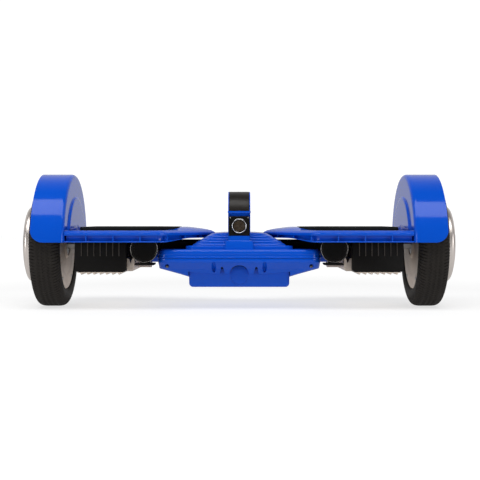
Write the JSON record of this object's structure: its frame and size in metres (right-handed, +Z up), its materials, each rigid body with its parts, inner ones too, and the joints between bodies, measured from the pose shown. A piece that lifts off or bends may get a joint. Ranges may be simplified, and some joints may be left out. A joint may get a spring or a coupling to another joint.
{
  "type": "self balancing hoverboard",
  "caption": "Two wheeled self balancing board with pitching foot platforms, arched fenders, a ribbed centre body and a fore-aft carry handle with a lamp.",
  "frame": {"origin": "floor, under the middle of the board", "axes": "+X along the wheel axle to the rider's left seen from the front, -Y is the front with the lamp, +Z up"},
  "size_m": [0.564, 0.1866, 0.1765],
  "materials": {
    "blue_gloss": "glossy moulded blue with a clear top coat",
    "black_plastic": "fine matt texture",
    "speaker_black": "matt, perforated",
    "grip_black": "smooth satin grip",
    "mat_rubber": "ribbed rubber",
    "seal_rubber": "soft satin",
    "tyre": "solid rubber with a fine wavy tread",
    "black_paint": "satin black paint on steel",
    "cast_aluminium": "fine cast, satin",
    "turned_aluminium": "turned satin",
    "steel": "ground",
    "chrome": "polished",
    "bronze": "sintered",
    "winding": "enamelled copper wire on a steel core",
    "circuit_board": "green solder mask",
    "battery_wrap": "shrink wrap over steel cells",
    "lamp_lens": "moulded, ribbed"
  },
  "bodies": {
    "centre": {"centre_lower_shell": "blue_gloss", "centre_hood": "blue_gloss", "chassis_beam": "black_paint", "pivot_tube": "steel", "battery_case": "blue_gloss", "battery_pack": "battery_wrap", "control_board": "circuit_board", "handle_arch": "blue_gloss", "handle_grip": "grip_black", "lamp_plate": "black_plastic", "lamp_ring": "chrome", "lamp_lens": "lamp_lens", "lamp_reflector": "chrome", "charge_socket": "black_plastic", "pivot_collar_right": "blue_gloss", "tube_clamp_right": "cast_aluminium", "pivot_collar_left": "blue_gloss", "tube_clamp_left": "cast_aluminium"},
    "platform_right": {"fender_right": "blue_gloss", "deck_right": "blue_gloss", "fin_box_right": "black_plastic", "chassis_right": "cast_aluminium", "axle_clamp_right": "cast_aluminium", "axle_right": "steel", "stator_right": "winding", "pivot_bush_right": "bronze", "belly_cover_right": "black_plastic", "speaker_can_right": "black_plastic", "speaker_grille_right": "speaker_black", "speaker_ring_right": "chrome", "gyro_board_right": "circuit_board"},
    "wheel_right": {"tyre_right": "tyre", "rotor_right": "turned_aluminium", "wheel_inner_cover_right": "cast_aluminium", "magnet_ring_right": "steel", "wheel_bearing_right": "steel"},
    "mat_right": {"foot_mat_right": "mat_rubber"},
    "platform_left": {"fender_left": "blue_gloss", "deck_left": "blue_gloss", "fin_box_left": "black_plastic", "chassis_left": "cast_aluminium", "axle_clamp_left": "cast_aluminium", "axle_left": "steel", "stator_left": "winding", "pivot_bush_left": "bronze", "belly_cover_left": "black_plastic", "speaker_can_left": "black_plastic", "speaker_grille_left": "speaker_black", "speaker_ring_left": "chrome", "gyro_board_left": "circuit_board"},
    "wheel_left": {"tyre_left": "tyre", "rotor_left": "turned_aluminium", "wheel_inner_cover_left": "cast_aluminium", "magnet_ring_left": "steel", "wheel_bearing_left": "steel"},
    "mat_left": {"foot_mat_left": "mat_rubber"},
    "charge_flap": {"charge_cap": "seal_rubber"},
    "button": {"power_button": "black_plastic"}
  },
  "joints": [
    {"name": "pitch_right", "type": "hinge", "parent": "centre", "child": "platform_right", "pos_m": [0.126, 0, 0.0655], "axis": [1, 0, 0], "range_deg": [-7, 7]},
    {"name": "wheel_spin_right", "type": "hinge", "parent": "platform_right", "child": "wheel_right", "pos_m": [0.249, 0, 0.083], "axis": [1, 0, 0], "continuous": true},
    {"name": "mat_press_right", "type": "slide", "parent": "platform_right", "child": "mat_right", "axis": [0, 0, -1], "range_m": [0, 0.0018], "stiffness_N_per_m": 4000},
    {"name": "pitch_left", "type": "hinge", "parent": "centre", "child": "platform_left", "pos_m": [-0.126, 0, 0.0655], "axis": [1, 0, 0], "range_deg": [-7, 7]},
    {"name": "wheel_spin_left", "type": "hinge", "parent": "platform_left", "child": "wheel_left", "pos_m": [-0.249, 0, 0.083], "axis": [1, 0, 0], "continuous": true},
    {"name": "mat_press_left", "type": "slide", "parent": "platform_left", "child": "mat_left", "axis": [0, 0, -1], "range_m": [0, 0.0018], "stiffness_N_per_m": 4000},
    {"name": "charge_cap_hinge", "type": "hinge", "parent": "centre", "child": "charge_flap", "pos_m": [-0.045, 0.0716, 0.06555], "axis": [1, 0, 0], "range_deg": [0, 110]},
    {"name": "power_press", "type": "slide", "parent": "centre", "child": "button", "axis": [0, -1, 0], "range_m": [0, 0.0014], "stiffness_N_per_m": 500}
  ]
}
